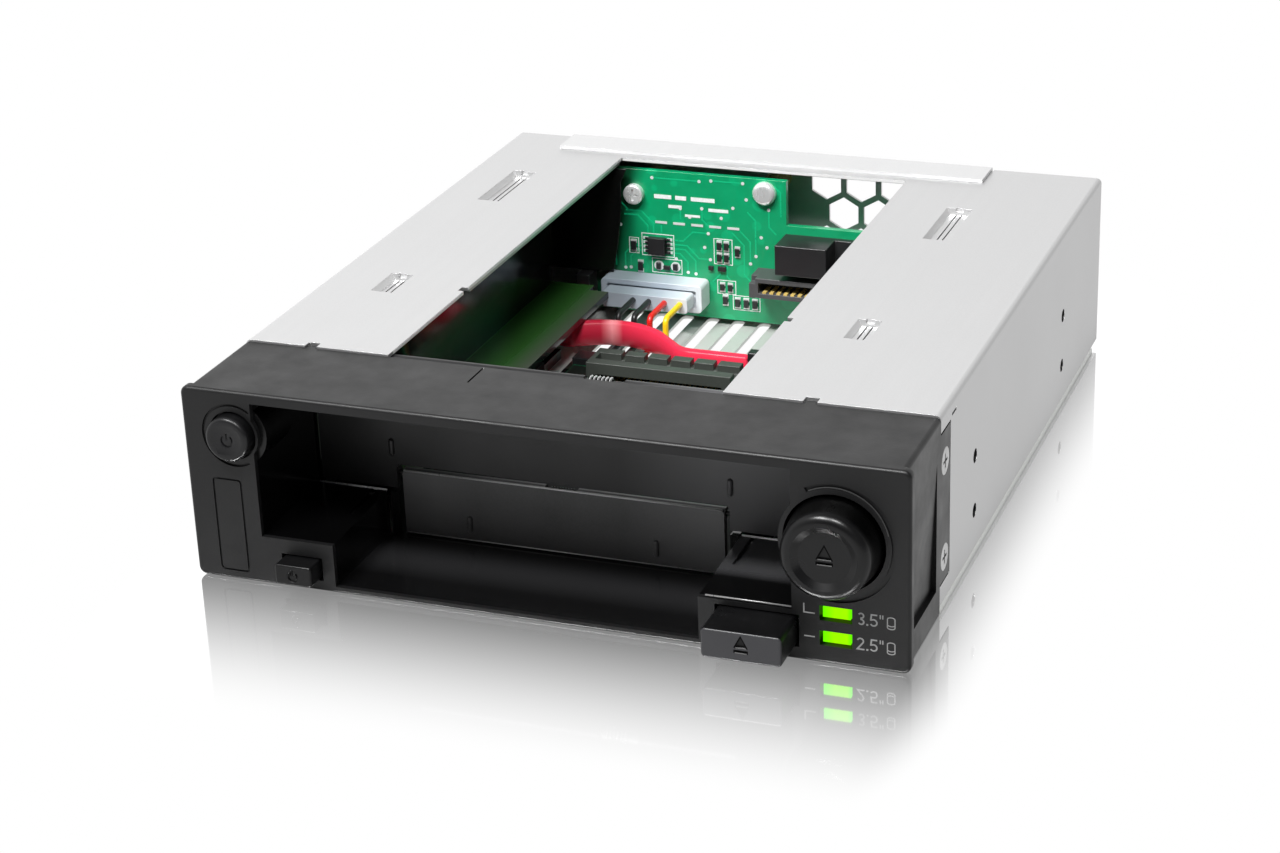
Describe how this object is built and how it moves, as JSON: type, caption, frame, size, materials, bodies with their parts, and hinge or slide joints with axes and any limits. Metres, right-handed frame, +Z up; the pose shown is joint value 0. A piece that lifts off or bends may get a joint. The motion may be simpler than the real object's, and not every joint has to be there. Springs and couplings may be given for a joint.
{
  "type": "hot swap drive bay",
  "caption": "Half height hot swap drive bay with a stepped aperture, nested spring doors, push ejectors, power buttons and an open topped sheet steel case.",
  "frame": {"origin": "middle of the bounding box on the underside", "axes": "+X to the right seen from the front, -Y out of the front face, +Z up"},
  "size_m": [0.1486, 0.181, 0.0422],
  "materials": {
    "black_plastic": "fine textured black moulding",
    "door_plastic": "smooth black moulding",
    "button_plastic": "fine textured black with soft sheen",
    "rail_plastic": "smooth black moulding",
    "connector_plastic": "black connector moulding",
    "connector_grey": "grey connector moulding",
    "white_plastic": "off-white nylon",
    "board_green": "green solder resist on glass laminate",
    "plated_sheet": "light grey plated sheet, satin",
    "bright_steel": "bright plated steel",
    "dark_steel": "blackened spring steel",
    "brass": "turned brass",
    "gold_contact": "gold flash on contacts",
    "lamp_green": "lit lime window",
    "cable_red": "soft crimson sleeve",
    "wire_black": "soft sleeve",
    "wire_red": "soft sleeve",
    "wire_yellow": "soft sleeve"
  },
  "bodies": {
    "housing": {"backplane_board": "board_green", "bezel_screws": "bright_steel", "board_chips": "connector_plastic", "board_screws": "bright_steel", "board_spacers": "brass", "bottom_chassis": "plated_sheet", "connector_board_screws": "bright_steel", "connector_guide_block": "connector_plastic", "data_cable": "cable_red", "data_header": "connector_plastic", "data_plug_front": "connector_plastic", "data_plug_rear": "cable_red", "eject_button_spring": "bright_steel", "eject_knob_spring": "bright_steel", "front_bezel": "black_plastic", "lamp_board": "board_green", "large_connector_contacts": "gold_contact", "large_door_hinge_pin": "dark_steel", "large_drive_connector": "connector_grey", "large_drive_lamp_window": "lamp_green", "large_lever_pivot": "bright_steel", "left_drive_rail": "rail_plastic", "power_header": "white_plastic", "power_plug": "white_plastic", "rail_screws": "bright_steel", "rear_data_ports": "connector_plastic", "rear_panel": "plated_sheet", "rear_panel_screws": "bright_steel", "rear_power_pins": "bright_steel", "rear_power_port": "white_plastic", "right_drive_rail": "rail_plastic", "round_button_board": "board_green", "round_button_switch": "connector_plastic", "small_button_board": "board_green", "small_button_switch": "connector_plastic", "small_connector_board": "board_green", "small_connector_contacts": "gold_contact", "small_drive_connector": "connector_plastic", "small_drive_lamp_window": "lamp_green", "small_drive_tray": "rail_plastic", "small_lever_pivot": "bright_steel", "small_power_plug": "connector_plastic", "status_lamps": "white_plastic", "top_cover": "plated_sheet", "wire_red": "wire_red", "wire_yellow": "wire_yellow", "wires_black": "wire_black"},
    "large_door": {"large_drive_door": "door_plastic", "large_door_spring": "bright_steel", "small_door_hinge_pin": "dark_steel"},
    "small_door": {"small_drive_door": "door_plastic", "small_door_spring": "dark_steel"},
    "eject_knob_set": {"eject_knob": "button_plastic", "large_eject_rod": "bright_steel"},
    "large_lever": {"large_eject_lever": "rail_plastic"},
    "eject_button_set": {"wide_eject_button": "button_plastic", "small_eject_rod": "bright_steel"},
    "small_lever": {"small_eject_lever": "rail_plastic"},
    "round_button": {"round_power_button": "button_plastic"},
    "small_button": {"small_power_button": "button_plastic"}
  },
  "joints": [
    {"name": "large_door_swing", "type": "hinge", "parent": "housing", "child": "large_door", "pos_m": [0, -0.0529, 0.039], "axis": [1, 0, 0], "range_deg": [0, 90], "stiffness_Nm_per_rad": 0.004, "springref_deg": -22.92},
    {"name": "small_door_swing", "type": "hinge", "parent": "large_door", "child": "small_door", "pos_m": [0, -0.053, 0.0146], "axis": [1, 0, 0], "range_deg": [0, 90], "stiffness_Nm_per_rad": 0.0015, "springref_deg": -22.92},
    {"name": "eject_knob_push", "type": "slide", "parent": "housing", "child": "eject_knob_set", "axis": [0, 1, 0], "range_m": [0, 0.007], "stiffness_N_per_m": 300, "springref_m": -0.004, "deforming": ["eject_knob_spring"]},
    {"name": "large_lever_turn", "type": "hinge", "parent": "housing", "child": "large_lever", "pos_m": [0.052, 0.0684, 0.024], "axis": [0, 0, 1], "range_deg": [0, 51.4]},
    {"name": "eject_button_push", "type": "slide", "parent": "housing", "child": "eject_button_set", "axis": [0, 1, 0], "range_m": [0, 0.007], "stiffness_N_per_m": 250, "springref_m": -0.004, "deforming": ["eject_button_spring"]},
    {"name": "small_lever_turn", "type": "hinge", "parent": "housing", "child": "small_lever", "pos_m": [0.0368, 0.0265, 0.0056], "axis": [0, 0, 1], "range_deg": [0, 51.4]},
    {"name": "round_power_press", "type": "slide", "parent": "housing", "child": "round_button", "axis": [0, 1, 0], "range_m": [0, 0.001], "stiffness_N_per_m": 900, "springref_m": -0.001},
    {"name": "small_power_press", "type": "slide", "parent": "housing", "child": "small_button", "axis": [0, 1, 0], "range_m": [0, 0.0009], "stiffness_N_per_m": 900, "springref_m": -0.001}
  ],
  "couplings": [
    {"joint": "large_lever_turn", "follows": "eject_knob_push", "rad_per_m": 128},
    {"joint": "small_lever_turn", "follows": "eject_button_push", "rad_per_m": 128}
  ]
}
